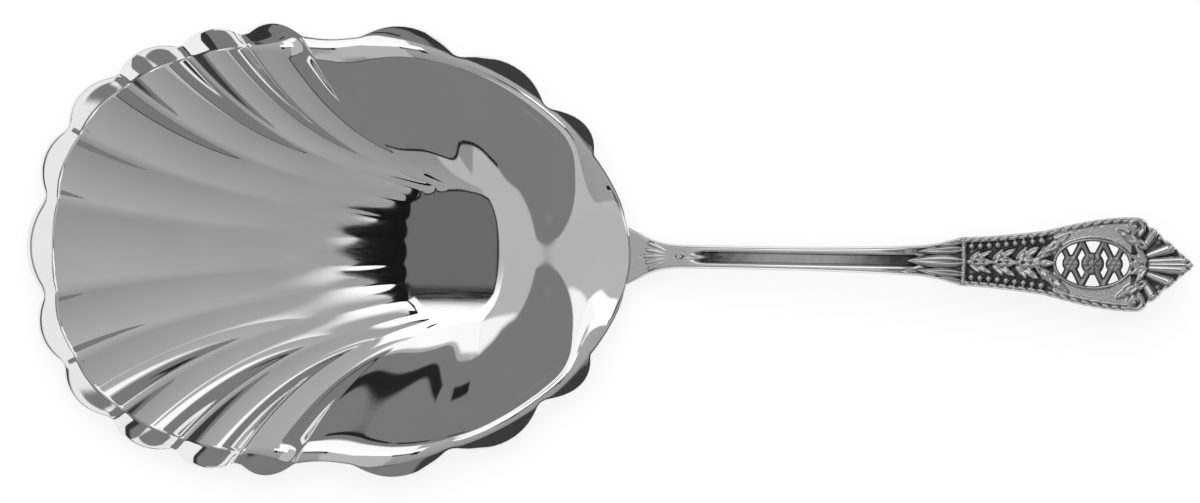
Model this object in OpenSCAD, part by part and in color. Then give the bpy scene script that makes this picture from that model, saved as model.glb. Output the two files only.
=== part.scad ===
// Cracker spoon: a fluted shell bowl of silver sheet soldered to a struck handle with a pierced end.
// Sizes are in millimetres. The origin is the centre of the flat that the bowl rests on.
// +X runs from the bowl to the handle, +Y across the bowl, +Z up.

/* [Bowl] */
// Length of the bowl from the front lip to the neck
bowl_length = 112; // [102:1:124]
// Width of the bowl across its side lips
bowl_width = 85.6; // [78:0.2:94]
// Thickness of the silver sheet
sheet = 1; // [0.8:0.1:1.4]
// Distance from the centre of the foot to the neck
neck_reach = 32.6; // [30:0.2:36]
// Distance from the centre of the foot to the widest section
belly_offset = 23.4; // [20:0.2:27]
// Length of the flat foot under the bowl
foot_length = 18; // [14:0.5:22]
// Width of the flat foot under the bowl
foot_width = 25; // [20:0.5:29]
// Rise of the front wall, before its lip turns out
front_rise = 13; // [10:0.5:16]
// Rise of the wall at the waist, before its lip turns out
waist_rise = 14.5; // [12:0.5:17]
// Rise of the side walls, before their lips turn out
side_rise = 15.5; // [13:0.5:18]
// Rise of the shoulders between the sides and the neck, before their lips turn out
shoulder_rise = 12; // [10:0.5:14]
// Rise of the back wall, before it turns out to the neck
back_rise = 15.5; // [13:0.5:18]

/* [Flutes and lips] */
// Angle taken by the middle flute, seen from the widest section
middle_flute_angle = 20; // [16:0.5:24]
// Angle taken by each of the other flutes
flute_angle = 14.5; // [12:0.5:16]
// Depth of the deepest flutes at the lip
flute_depth = 2.9; // [1.6:0.1:3.4]
// Depth of the front flutes as a share of the deepest ones
front_share = 0.6; // [0.4:0.02:1]
// How far the middle scallop stands out from its notches
middle_scallop = 3; // [1.5:0.1:4]
// How far the other scallops stand out from their notches
side_scallop = 2.1; // [1:0.1:3]
// Slope at which the front lip runs down to its edge
front_fall = 0.8; // [0.5:0.05:0.9]
// Change of slope by which the side and back lips turn down
side_turn = 1.65; // [1.2:0.05:2]
// Change of slope by which the back wall turns out to the neck
neck_turn = 0.86; // [0.7:0.02:1]
// Depth of the waist between the fluted front and the lips behind it
waist_depth = 1.6; // [0.5:0.1:2.5]
// Angle taken by the waist
waist_angle = 14; // [10:0.5:18]
// Angle taken by the lip next to the waist
lip_angle_1 = 26; // [22:0.5:30]
// Angle taken by the middle lip
lip_angle_2 = 23; // [18:0.5:26]
// Angle taken by the lip next to the neck
lip_angle_3 = 14; // [11:0.5:17]

/* [Handle] */
// Width of the heel where it meets the bowl
heel_width = 10.6; // [9:0.1:12]
// Length over which the heel narrows to the stem
heel_length = 10; // [8:0.5:13]
// Width of the stem
stem_width = 4.3; // [3.6:0.1:5.2]
// Thickness of the stem
stem_thickness = 2.7; // [2.2:0.1:3.4]
// Length of the stem from the heel to the shoulder flare
stem_length = 42; // [36:0.5:50]
// Width of the handle at its shoulders
shoulder_width = 9.2; // [8:0.1:10.4]
// Length of the shoulder flare
shoulder_length = 9; // [7:0.5:11]
// Width of the handle at the foot of the pierced end
panel_width = 11.8; // [10.6:0.1:13]
// Length of the panel between the shoulders and the pierced end
panel_length = 15; // [12:0.5:18]
// Greatest width of the pierced end
end_width = 17.4; // [15.6:0.1:19]
// Length of the pierced end
end_length = 17; // [15.5:0.5:20]
// Length of the pointed tip
tip_length = 11; // [9:0.5:13]
// Thickness of the pierced end
end_thickness = 2; // [1.6:0.1:2.6]
// Upward slope of the handle where it leaves the bowl
start_slope = 0.24; // [0.1:0.01:0.35]
// Slope of the handle at its tip
end_slope = -0.12; // [-0.2:0.01:0.05]

/* [Channel, window and relief] */
// Width of the channel along the stem
channel_width = 1.7; // [1.2:0.1:2.2]
// Depth of the channel along the stem
channel_depth = 0.6; // [0.3:0.05:0.9]
// Depth of the sunk ground of the pierced end
ground_depth = 0.45; // [0.3:0.05:0.7]
// Width of the raised border round the pierced end
border_width = 1.1; // [0.8:0.05:1.5]
// Length of the pierced window
window_length = 13.4; // [11.5:0.1:14.5]
// Width of the pierced window
window_width = 8.2; // [7.4:0.1:9]
// Width of the trellis bars across the window
bar_width = 1.2; // [1:0.05:1.4]
// Distance between the crossings of the trellis
trellis_pitch = 4; // [3.6:0.1:4.4]
// Radius of the boss in the middle of the window
middle_boss = 2.1; // [1.8:0.05:2.3]
// Radius of the bosses beside it
side_boss = 1.6; // [1.3:0.05:1.8]
// Radius of the pearls along the panel
pearl_radius = 0.6; // [0.45:0.05:0.7]
// Thickness of the tongue at the neck
tongue_thickness = 1.6; // [1.2:0.1:2.2]
// Thickness of the solder film
solder_film = 0.15; // [0.1:0.05:0.3]

/* [Hidden] */
side_flutes = 4;
silver = [0.80, 0.80, 0.79];
silver_dark = [0.70, 0.70, 0.69];
solder_tone = [0.62, 0.62, 0.60];

// Plan of the bowl: a full curve in front of the widest section and a leaner one behind it.
front_reach = bowl_length - neck_reach - belly_offset - middle_scallop;
back_reach = neck_reach + belly_offset;
half_breadth = bowl_width / 2 - side_scallop;
front_fullness = 2.6;
back_fullness = 1.9;
foot_fullness = 3.2;
fan_bow = 0.55;
fan_edge = middle_flute_angle / 2 + side_flutes * flute_angle;
waist_start = 90 - waist_angle / 2;
waist_end = 90 + waist_angle / 2;
lip_edge_1 = waist_end + lip_angle_1;
lip_edge_2 = lip_edge_1 + lip_angle_2;
lip_edge_3 = lip_edge_2 + lip_angle_3;
heel_edge = 180 - asin(heel_width / 2 / back_reach);

// Row positions from the foot to the lip; the last tongue_rows of them carry the tongue.
rows = [0, 0.05, 0.12, 0.21, 0.32, 0.44, 0.56, 0.66, 0.74, 0.81, 0.88, 0.94, 0.957, 0.974, 1];
tongue_rows = 7;

function clamp01(v) = min(1, max(0, v));
function smooth(v) = clamp01(v) * clamp01(v) * (3 - 2 * clamp01(v));
function blend(a, b, v) = a + (b - a) * v;
function unit(v) = v / norm(v);
function hump(u) = 1 - pow(2 * u - 1, 2);
function lobe_depth(a) = flute_depth * blend(front_share, 1, smooth((a - 25) / 30));

// The rim is a row of lobes; each has a start angle, an end angle, a scallop, a flute depth and a column count.
lobes = concat(
    [for (i = [1:side_flutes])
        let (a = middle_flute_angle / 2 + (i - 1) * flute_angle)
        [a, a + flute_angle, side_scallop, lobe_depth(a + flute_angle / 2), 6]],
    [[fan_edge, waist_start, side_scallop, flute_depth * 0.5, 5],
     [waist_start, waist_end, 0, 0, 4],
     [waist_end, lip_edge_1, side_scallop * 1.35, 0, 7],
     [lip_edge_1, lip_edge_2, side_scallop * 1.55, 0, 6],
     [lip_edge_2, lip_edge_3, side_scallop * 1.3, 0, 5],
     [lip_edge_3, heel_edge, 0, 0, 4],
     [heel_edge, 180, 0, 0, 3]]);

// Columns of one half: angle, place across the lobe, scallop, flute depth.
half_columns = concat(
    [for (k = [0:2]) [middle_flute_angle / 2 * k / 3, 0.5 + k / 6, middle_scallop, lobe_depth(0)]],
    [for (l = lobes) for (k = [0:l[4] - 1]) [blend(l[0], l[1], k / l[4]), k / l[4], l[2], l[3]]],
    [[180, 0, 0, 0]]);
last = len(half_columns) - 1;
columns = concat(
    [for (c = half_columns) concat(c, [1])],
    [for (j = [last - 1:-1:1]) concat(half_columns[j], [-1])]);
column_count = len(columns);
row_count = len(rows);

function rim_radius(a) =
    let (front = a < 90,
         n = front ? front_fullness : back_fullness,
         reach = front ? front_reach : back_reach)
    pow(pow(abs(cos(a)) / reach, n) + pow(abs(sin(a)) / half_breadth, n), -1 / n)
        - waist_depth * exp(-pow((a - 90) / waist_angle / 0.75, 2));

function edge_plan(a) = [-belly_offset - rim_radius(a) * cos(a), rim_radius(a) * sin(a)];
// The foot is a little squarer than an ellipse.
function foot_plan(a) =
    let (k = pow(pow(abs(cos(a)), foot_fullness) + pow(abs(sin(a)), foot_fullness), -1 / foot_fullness))
    [-foot_length / 2 * cos(a) * k, foot_width / 2 * sin(a) * k];
// Place in plan, and the distance from the foot's edge to the rim; scallops stand out only near the rim.
function plan(a, stand, t) =
    let (e = edge_plan(a),
         f = foot_plan(a),
         k = fan_bow * smooth((130 - abs(a)) / 60),
         out = stand * pow(t, 5))
    [blend(f[0], e[0], t) - out * cos(a),
     blend(f[1], e[1], (1 - k) * t + k * t * t * t) + out * sin(a),
     norm(e - f)];

// Wall: how high it rises, and the lip that starts at a share of the way, turns over a share and falls by a slope.
side_lip = [0.853, 0.21, side_turn];
neck_lip = [0.2, 0.85, neck_turn];
function to_side(a) = smooth((a - 80) / 35);
function to_neck(a) = smooth((a - 150) / 28);
function wall_rise(a) =
    let (front = blend(front_rise, waist_rise, smooth(a / 85)),
         side = blend(front, side_rise, to_side(a)))
    blend(blend(side, shoulder_rise, smooth((a - 105) / 35)), back_rise, to_neck(a));
// The side walls are straighter than the front wall and the neck; the wall at the waist is hollower.
function wall_bend(a) = blend(blend(blend(1.6, 2.2, smooth((a - 45) / 35)), 1.5, to_side(a)), 1.6, to_neck(a));
function lip(a, run) =
    let (front_lip = [0.948, 0.025, front_fall + wall_rise(a) * wall_bend(a) / run])
    blend(blend(front_lip, side_lip, smooth((a - 60) / 35)), neck_lip, to_neck(a));
function rolled(x) = x < 1 ? x * x * x - x * x * x * x / 2 : x - 0.5;
function wall_height(a, t, run) =
    let (l = lip(a, run))
    sheet + wall_rise(a) * pow(t, wall_bend(a))
        - l[2] * run * l[1] * rolled(max(0, (t - l[0]) / l[1]));
function flute_cut(depth, u, t) = depth * hump(u) * pow(t, 2.2);

// Inside of the bowl at a column and a row, and the same point through the sheet.
function inside(c, t) =
    let (stand = c[2] * hump(c[1]),
         p = plan(c[0], stand, t),
         far = t + stand * pow(t, 5) / p[2])
    [p[0], c[4] * p[1], wall_height(c[0], far, p[2]) - flute_cut(c[3], c[1], far)];
function plain_point(a, stand, t) =
    let (p = plan(a, stand, t))
    [p[0], p[1], wall_height(a, t + stand * pow(t, 5) / p[2], p[2])];
function plain_normal(a, stand, t) =
    let (across = plain_point(a + 1, stand, t) - plain_point(a - 1, stand, t),
         along = plain_point(a, stand, min(1, t + 0.01)) - plain_point(a, stand, max(0, t - 0.01)),
         n = unit(cross(along, across)))
    n[2] < 0 ? -n : n;
function sheet_normal(c, t) =
    let (n = plain_normal(c[0], c[2] * hump(c[1]), t))
    t == 0 ? [0, 0, 1] : [n[0], c[4] * n[1], n[2]];
function outside(c, t) = inside(c, t) - sheet * sheet_normal(c, t);

// Closed skin over a grid of points: rings of equal length, capped at both ends.
function skin_faces(rings, n) = concat(
    [for (r = [0:rings - 2]) for (c = [0:n - 1])
        [r * n + c, (r + 1) * n + c, (r + 1) * n + (c + 1) % n]],
    [for (r = [0:rings - 2]) for (c = [0:n - 1])
        [r * n + c, (r + 1) * n + (c + 1) % n, r * n + (c + 1) % n]]);

// Ribbon between two grids of the same size, closed along all four sides.
function ribbon_faces(across, along) =
    let (m = across * along)
    concat(
        [for (i = [0:across - 2]) for (j = [0:along - 2])
            [i * along + j, i * along + j + 1, (i + 1) * along + j + 1]],
        [for (i = [0:across - 2]) for (j = [0:along - 2])
            [i * along + j, (i + 1) * along + j + 1, (i + 1) * along + j]],
        [for (i = [0:across - 2]) for (j = [0:along - 2])
            [m + i * along + j, m + (i + 1) * along + j + 1, m + i * along + j + 1]],
        [for (i = [0:across - 2]) for (j = [0:along - 2])
            [m + i * along + j, m + (i + 1) * along + j, m + (i + 1) * along + j + 1]],
        [for (j = [0:along - 2]) [j, m + j, m + j + 1]],
        [for (j = [0:along - 2]) [j, m + j + 1, j + 1]],
        [for (j = [0:along - 2]) let (b = (across - 1) * along) [b + j, b + j + 1, m + b + j + 1]],
        [for (j = [0:along - 2]) let (b = (across - 1) * along) [b + j, m + b + j + 1, m + b + j]],
        [for (i = [0:across - 2]) [i * along, (i + 1) * along, m + (i + 1) * along]],
        [for (i = [0:across - 2]) [i * along, m + (i + 1) * along, m + i * along]],
        [for (i = [0:across - 2]) let (e = along - 1)
            [i * along + e, m + i * along + e, m + (i + 1) * along + e]],
        [for (i = [0:across - 2]) let (e = along - 1)
            [i * along + e, m + (i + 1) * along + e, (i + 1) * along + e]]);

// Columns under the heel, from one side of the neck to the other.
neck_columns = [for (j = [last - 3:last + 3]) columns[j]];
neck_rows = [for (j = [row_count - tongue_rows:row_count - 1]) rows[j]];
function away(c) = [-cos(c[0]), c[4] * sin(c[0]), 0];

// Solder film: its side against the bowl, and its side against the handle.
function film_bowl_side(c) = concat([for (t = neck_rows) outside(c, t)], [inside(c, 1)]);
function film_corner(c) = outside(c, 1) + solder_film * (away(c) - sheet_normal(c, 1));
function film_handle_side(c) = concat(
    [for (j = [0:tongue_rows - 2]) outside(c, neck_rows[j]) - solder_film * sheet_normal(c, neck_rows[j])],
    [film_corner(c)],
    [inside(c, 1) + solder_film * away(c)]);

// Handle: distance s runs from the neck to the tip.
s_stem = heel_length;
s_flare = s_stem + stem_length;
s_shoulder = s_flare + shoulder_length;
s_panel = s_shoulder + panel_length;
s_end = s_panel + end_length;
s_tip = s_end + tip_length;
neck_point = inside(columns[last], 1);
handle_x0 = neck_point[0] + solder_film;
window_s = s_panel + 2.2 + window_length / 2;

// The bars cross on the edge of the window, half-way between the bosses.
bar_lean = atan2(window_width * sqrt(1 - pow(trellis_pitch / window_length, 2)), trellis_pitch);

function top_height(s) =
    neck_point[2] + s * start_slope + (end_slope - start_slope) * s * s / (2 * s_tip);
function half_width(s) =
    s < s_stem ? stem_width / 2 + (heel_width - stem_width) / 2 * pow(1 - s / heel_length, 2.4)
    : s < s_flare ? stem_width / 2 + 0.62 * pow(clamp01((s - s_stem) / stem_length - 0.35) / 0.65, 2)
    : s < s_shoulder ? blend(stem_width / 2 + 0.62, shoulder_width / 2, pow((s - s_flare) / shoulder_length, 1.7))
    : s < s_panel ? blend(shoulder_width / 2 - 0.1, panel_width / 2, pow((s - s_shoulder) / panel_length, 1.5))
    : s < s_end ? blend(panel_width / 2, end_width / 2, sin(90 * (s - s_panel) / end_length))
    : end_width / 2 * tip_share((s - s_end) / tip_length);
// The tip narrows in steps, one for each pair of shell ribs.
function tip_share(v) = v < 0.16 ? 1 - 0.6 * v * v / 0.16
    : v < 0.2 ? blend(0.904, 0.8, (v - 0.16) / 0.04)
    : max(0.03, 0.8 * (1 - (v - 0.2) / 0.8) + 0.11 * abs(sin(540 * (v - 0.2) / 0.8)) * (1 - v));
function thickness(s) = s < s_flare ? blend(stem_thickness * 1.05, stem_thickness, clamp01(s / heel_length))
    : blend(stem_thickness, end_thickness, smooth((s - s_flare) / (shoulder_length * 2)));
function sunk_half(s) =
    s < s_flare ? max(0.2, channel_width / 2 * smooth((s - s_stem - 1) / 2))
    : s < s_shoulder ? max(0.2, channel_width / 2 * clamp01((s_flare + 3 - s) / 3))
    : s < s_end ? max(0.4, half_width(s) - border_width)
    : half_width(s) * 0.6;
function sunk_depth(s) =
    s < s_flare ? channel_depth * smooth((s - s_stem - 1) / 2)
    : s < s_shoulder ? channel_depth * clamp01((s_flare + 3 - s) / 3)
    : s < s_end - 1 ? ground_depth * smooth((s - s_shoulder) / 1.2)
    : ground_depth * clamp01((s_end + 1 - s) / 2);

handle_stations = concat(
    [0.35, 1.2, 2.4, 4, 6, 8],
    [s_stem, s_stem + 1, s_stem + 2, s_stem + 3, s_stem + 8],
    [for (k = [4:10]) blend(s_stem, s_flare, k / 10)],
    [s_flare + 1.5, s_flare + 3],
    [for (k = [3:6]) blend(s_flare, s_shoulder - 0.05, k / 6)],
    [s_shoulder, s_shoulder + 0.6, s_shoulder + 1.2],
    [for (k = [1:4]) blend(s_shoulder, s_panel, k / 4)],
    [for (k = [1:9]) blend(s_panel, s_end, k / 9)],
    [for (k = [1:18]) blend(s_end, s_tip, k / 18)]);

function half_section(s) =
    let (w = half_width(s), th = thickness(s), h = sunk_half(s), g = sunk_depth(s))
    [[h * 0.8, -g], [h, 0], [(h + w) / 2, 0.14], [w * 0.96, -0.12 * th], [w, -0.4 * th],
     [w * 0.95, -0.72 * th], [w * 0.62, -th]];
function section(s) =
    let (hs = half_section(s), z = top_height(s), x = handle_x0 + s)
    concat(
        [[x, 0, z - sunk_depth(s)]],
        [for (p = hs) [x, -p[0], z + p[1]]],
        [[x, 0, z - thickness(s) * 1.06]],
        [for (j = [len(hs) - 1:-1:0]) [x, hs[j][0], z + hs[j][1]]]);
section_points = 16;

function on_top(s, y, up) = [handle_x0 + s, y, top_height(s) + up];
function on_ground(s, y, up) = [handle_x0 + s, y, top_height(s) - sunk_depth(s) + up];

module handle_blank() {
    rings = len(handle_stations);
    points = [for (s = handle_stations) for (p = section(s)) p];
    front_cap = [for (c = [0:section_points - 1]) c];
    back_cap = [for (c = [section_points - 1:-1:0]) (rings - 1) * section_points + c];
    polyhedron(points, concat(skin_faces(rings, section_points), [front_cap, back_cap]), convexity = 8);
}

// Heel and tongue: fitted under the bowl's back wall and against its edge.
module heel_tongue() {
    function top_path(c) = concat(
        film_handle_side(c),
        [[handle_x0 + 1.3, c[4] * abs(inside(c, 1)[1]) * 0.8, top_height(1.3) - 0.05]]);
    function low_path(c) = concat(
        [for (j = [0:tongue_rows - 1])
            film_handle_side(c)[j]
                - blend(0.5, tongue_thickness, j / (tongue_rows - 1)) * sheet_normal(c, neck_rows[j])],
        [film_corner(c) - tongue_thickness * sheet_normal(c, 1) + [0.4, 0, 0]],
        [[handle_x0 + 1.3, c[4] * abs(inside(c, 1)[1]) * 0.8, top_height(1.3) - stem_thickness]]);
    across = len(neck_columns);
    along = tongue_rows + 2;
    points = concat(
        [for (c = neck_columns) for (p = top_path(c)) p],
        [for (c = neck_columns) for (p = low_path(c)) p]);
    polyhedron(points, ribbon_faces(across, along), convexity = 6);
}

// Openings of the trellis window: the oval less the crossing bars and the bosses on the crossings.
module window_openings() {
    difference() {
        scale([window_length / window_width, 1]) {
            circle(d = window_width, $fn = 40);
        }
        for (k = [-2:2]) {
            for (lean = [-1, 1]) {
                translate([k * trellis_pitch, 0]) {
                    rotate(lean * bar_lean) {
                        square([window_length * 2, bar_width], center = true);
                    }
                }
            }
        }
        for (k = [-1:1]) {
            translate([k * trellis_pitch, 0]) {
                circle(r = k == 0 ? middle_boss : side_boss, $fn = 20);
            }
        }
    }
}

// A rod that follows a list of points.
module rod(path, radius, sides) {
    count = len(path);
    function heading(k) = unit(path[min(count - 1, k + 1)] - path[max(0, k - 1)]);
    function share(k) = is_list(radius) ? blend(radius[0], radius[1], k / (count - 1)) : radius;
    points = [for (k = [0:count - 1]) let (d = heading(k), v = unit(cross(d, [0, 0, 1])), w = cross(v, d))
        for (c = [0:sides - 1]) path[k] + share(k) * (cos(360 * c / sides) * v - sin(360 * c / sides) * w)];
    front_cap = [for (c = [0:sides - 1]) c];
    back_cap = [for (c = [sides - 1:-1:0]) (count - 1) * sides + c];
    polyhedron(points, concat(skin_faces(count, sides), [front_cap, back_cap]), convexity = 4);
}

// Raised moulding round the window.
module window_frame() {
    turns = 30;
    function spot(k) = on_ground(window_s + (window_length / 2 + 0.45) * cos(360 * k / turns),
        (window_width / 2 + 0.45) * sin(360 * k / turns), 0.05);
    points = [for (k = [0:turns - 1])
        let (c = spot(k), n = unit(spot(k + 0.5) - spot(k - 0.5)), v = unit(cross(n, [0, 0, 1])))
        for (q = [[-0.5, -0.3], [-0.3, 0.35], [0.3, 0.35], [0.5, -0.3]]) c + q[0] * v + q[1] * [0, 0, 1]];
    faces = concat(
        [for (k = [0:turns - 1]) for (c = [0:3]) let (m = (k + 1) % turns)
            [k * 4 + c, m * 4 + c, m * 4 + (c + 1) % 4]],
        [for (k = [0:turns - 1]) for (c = [0:3]) let (m = (k + 1) % turns)
            [k * 4 + c, m * 4 + (c + 1) % 4, k * 4 + (c + 1) % 4]]);
    polyhedron(points, faces, convexity = 6);
}

// A small petal: a round head that narrows to a point.
module petal(head, foot, r_head, r_foot) {
    hull() {
        translate(head) {
            sphere(r = r_head, $fn = 8);
        }
        translate(foot) {
            sphere(r = r_foot, $fn = 6);
        }
    }
}

module relief() {
    // Pearls on the trellis crossings.
    for (k = [-1:1]) {
        translate(on_ground(window_s + k * trellis_pitch, 0, 0)) {
            sphere(r = k == 0 ? 1.25 : 0.9, $fn = 12);
        }
    }
    // Rows of pearls beside the panel.
    pearls = 9;
    for (k = [0:pearls - 1]) {
        for (side = [-1, 1]) {
            s = blend(s_shoulder + 1.6, s_panel - 0.6, k / (pearls - 1));
            translate(on_ground(s, side * (half_width(s) - border_width - pearl_radius), 0.1)) {
                sphere(r = pearl_radius, $fn = 8);
            }
        }
    }
    // A chain of three husks along the panel, growing towards the window.
    for (k = [0:2]) {
        s = s_shoulder + 1.4 + k * 4.3;
        size = 1 + 0.18 * k;
        for (lean = [-1, 0, 1]) {
            petal(on_ground(s + 3.2, lean * 0.95 * size, 0.15), on_ground(s, 0, 0.2), 0.52 * size, 0.4);
        }
    }
    // Shell on the tip: ribs that spread from its root.
    for (k = [-3:3]) {
        root = s_end + 1;
        lean = 22 * k;
        far = blend(root, s_tip - 1, pow(cos(lean), 1.5));
        petal(on_top(far, sign(k) * (half_width(far) - 0.85) * min(1, abs(k)), -0.5),
            on_top(root, k * 0.4, -0.35), 0.7, 0.45);
    }
    // Scrolls on the two shoulders of the pierced end.
    for (side = [-1, 1]) {
        rod([for (k = [0:13]) let (turn = 40 * k, r = 1.55 - 0.1 * k)
                on_top(s_end - 0.3 + r * cos(turn - 60), side * (end_width / 2 - 1.75 + r * sin(turn - 60)),
                    -0.1 + 0.02 * k)],
            [0.32, 0.42], 5);
    }
    // Sheath of leaves where the stem meets the shoulders.
    for (lean = [-1, 0, 1]) {
        petal(on_top(s_flare + 4.5 - abs(lean) * 1.5, lean * 1.1, -0.05),
            on_top(s_shoulder - 0.6, lean * 2.4, -0.25), 0.4, 0.75);
    }
    // Small shell on the heel.
    for (k = [-2:2]) {
        petal(on_top(1.7 + 0.35 * abs(k), k * 1.25, -0.2), on_top(7.8, k * 0.2, -0.2), 0.6, 0.32);
    }
}

module bowl() {
    points = concat(
        [for (t = rows) for (c = columns) inside(c, t)],
        [for (t = rows) for (c = columns) outside(c, t)]);
    m = row_count * column_count;
    n = column_count;
    e = (row_count - 1) * n;
    faces = concat(
        skin_faces(row_count, n),
        [for (f = skin_faces(row_count, n)) [m + f[2], m + f[1], m + f[0]]],
        [[for (c = [0:n - 1]) c]],
        [[for (c = [n - 1:-1:0]) m + c]],
        [for (c = [0:n - 1]) [e + (c + 1) % n, e + c, m + e + c]],
        [for (c = [0:n - 1]) [e + (c + 1) % n, m + e + c, m + e + (c + 1) % n]]);
    color(silver) {
        polyhedron(points, faces, convexity = 10);
    }
}

module handle() {
    color(silver_dark) {
        difference() {
            union() {
                handle_blank();
                heel_tongue();
                window_frame();
                relief();
            }
            translate([handle_x0 + window_s, 0, 0]) {
                linear_extrude(height = 100) {
                    window_openings();
                }
            }
        }
    }
}

module solder_joint() {
    points = concat(
        [for (c = neck_columns) for (p = film_bowl_side(c)) p],
        [for (c = neck_columns) for (p = film_handle_side(c)) p]);
    color(solder_tone) {
        polyhedron(points, ribbon_faces(len(neck_columns), tongue_rows + 1), convexity = 4);
    }
}

bowl();
handle();
solder_joint();
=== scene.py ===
"""Dresses the cracker spoon: a fluted silver shell bowl soldered to a struck, pierced handle."""

import logging
import math
from abc import ABC, abstractmethod
from dataclasses import dataclass
from enum import Enum
from typing import Any, ClassVar

import bpy
import numpy as np
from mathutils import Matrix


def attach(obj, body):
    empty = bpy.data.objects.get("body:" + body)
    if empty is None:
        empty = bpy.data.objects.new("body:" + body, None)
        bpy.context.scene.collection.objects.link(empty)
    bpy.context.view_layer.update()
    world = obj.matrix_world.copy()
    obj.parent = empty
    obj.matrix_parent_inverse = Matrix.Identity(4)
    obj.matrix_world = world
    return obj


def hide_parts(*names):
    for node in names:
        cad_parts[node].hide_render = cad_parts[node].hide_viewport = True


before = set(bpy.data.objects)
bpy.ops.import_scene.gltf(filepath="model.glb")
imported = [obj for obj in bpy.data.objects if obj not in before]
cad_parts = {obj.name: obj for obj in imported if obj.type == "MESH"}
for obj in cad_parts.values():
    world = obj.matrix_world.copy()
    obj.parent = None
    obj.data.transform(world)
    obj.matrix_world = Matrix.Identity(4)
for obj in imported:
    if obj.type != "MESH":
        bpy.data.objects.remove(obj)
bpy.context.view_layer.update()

LOG = logging.getLogger("cracker_spoon")
MM = 0.001
BODY = "root"
FAR = 99.0
ALL = (-FAR, FAR)
Array = np.ndarray
Pair = tuple[float, float]
Triple = tuple[float, float, float]
Faces = list[list[int]]
Path = list[Pair]
Stretches = tuple[tuple[float, int], ...]
Object = bpy.types.Object
Tree = bpy.types.NodeTree
Socket = bpy.types.NodeSocket
Sockets = tuple[Socket, ...]
# Order of a face's corners that turns it over.
TURNED = [0, 3, 2, 1]


class Slot(Enum):
    """The record's material slots."""

    BOWL = "bowl_silver"
    HANDLE = "handle_silver"
    SOLDER = "silver_solder"


def clamp01(value: Array | float) -> Array:
    """Holds a value between 0 and 1."""
    return np.clip(value, 0.0, 1.0)


def smooth(value: Array | float) -> Array:
    """Eases a value from 0 to 1 with a level start and end."""
    held = clamp01(value)
    return held * held * (3.0 - 2.0 * held)


def eased(value: Array | float, zone: Pair) -> Array:
    """Eases from 0 to 1 across a zone, given by its start and its length."""
    return smooth((value - zone[0]) / zone[1])


def blend(start: Any, end: Any, share: Any) -> Any:
    """Goes from start to end by a share."""
    return start + (end - start) * share


def cap(share: Array) -> Array:
    """Height of a half-round at a share of its radius from its middle."""
    return np.sqrt(clamp01(1.0 - share * share))


def linear(colour: str) -> tuple[float, float, float, float]:
    """Turns an sRGB hex colour to linear light.

    Args:
        colour: The colour as "#RRGGBB".

    Returns:
        Linear red, green and blue, with an alpha of 1.
    """
    parts = [int(colour[i:i + 2], 16) / 255.0 for i in (1, 3, 5)]
    light = [p / 12.92 if p <= 0.04045 else ((p + 0.055) / 1.055) ** 2.4 for p in parts]
    return light[0], light[1], light[2], 1.0


def add_node(tree: Tree, kind: str, sockets: dict[Any, Any] | None = None, **settings: Any) -> bpy.types.Node:
    """Adds one node with its settings, its values and its links.

    Args:
        tree: The node tree that takes the node.
        kind: The node's type name.
        sockets: Input sockets by name or number, each with a value or an output socket to link.
        **settings: The node's own properties.

    Returns:
        The new node.
    """
    node = tree.nodes.new(kind)
    for name, value in settings.items():
        setattr(node, name, value)
    for name, value in (sockets or {}).items():
        if isinstance(value, Socket):
            tree.links.new(value, node.inputs[name])
        else:
            node.inputs[name].default_value = value
    return node


def make_piece(name: str, points: Array, faces: Faces, sharp: float | None = None) -> Object:
    """Makes a smooth-shaded mesh object from points in millimetres.

    Args:
        name: The piece's name.
        points: Points, one a row.
        faces: Corner numbers of each face.
        sharp: The angle in degrees above which an edge stays sharp, or None for none.

    Returns:
        The new object, linked to the scene.
    """
    mesh = bpy.data.meshes.new(name)
    mesh.from_pydata((points * MM).tolist(), [], faces)
    mesh.validate()
    mesh.shade_smooth()
    if sharp is not None:
        mesh.set_sharp_from_angle(angle=math.radians(sharp))
    piece = bpy.data.objects.new(name, mesh)
    bpy.context.scene.collection.objects.link(piece)
    return piece


def quads(number: Array) -> Array:
    """Corner numbers of a grid's cells, by row, column and corner, from the numbers of its points."""
    return np.stack([number[:-1, :-1], number[1:, :-1], number[1:, 1:], number[:-1, 1:]], axis=-1)


def ring_faces(rings: int, count: int) -> Faces:
    """Faces of a closed skin over rings of equal length, with a pole before the first and after the last.

    Args:
        rings: How many rings there are.
        count: How many points each ring has.

    Returns:
        Corner numbers; the poles are the last two points.
    """
    number = np.arange(rings * count).reshape(rings, count)
    number = np.concatenate([number, number[:, :1]], axis=1)
    faces = quads(number)[..., TURNED].reshape(-1, 4).tolist()
    for pole, ring in ((rings * count, number[0, ::-1]), (rings * count + 1, number[-1])):
        faces += [[pole, *pair] for pair in zip(ring[:-1].tolist(), ring[1:].tolist())]
    return faces


def ribbon_faces(across: int, along: int) -> Faces:
    """Faces of a closed ribbon between an upper and a lower grid of the same size.

    Args:
        across: Columns of each grid.
        along: Rows of each grid.

    Returns:
        Corner numbers; the lower grid's points follow the upper grid's.
    """
    top = np.arange(across * along).reshape(across, along)
    low = top + across * along
    cells = [quads(top), quads(low)[..., [1, 0, 3, 2]]]
    sides = ((top[0], low[0], True), (top[-1], low[-1], False), (top[:, 0], low[:, 0], False),
             (top[:, -1], low[:, -1], True))
    for line, below, turned in sides:
        side = quads(np.stack([line, below]))
        cells.append(side[..., TURNED] if turned else side)
    return np.concatenate([k.reshape(-1, 4) for k in cells]).tolist()


def cleared(owner: bpy.types.Material | bpy.types.World) -> Tree:
    """Turns on the nodes of a material or a world, and empties them.

    Args:
        owner: The material or world.

    Returns:
        Its empty node tree.
    """
    owner.use_nodes = True
    owner.node_tree.nodes.clear()
    return owner.node_tree


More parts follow.
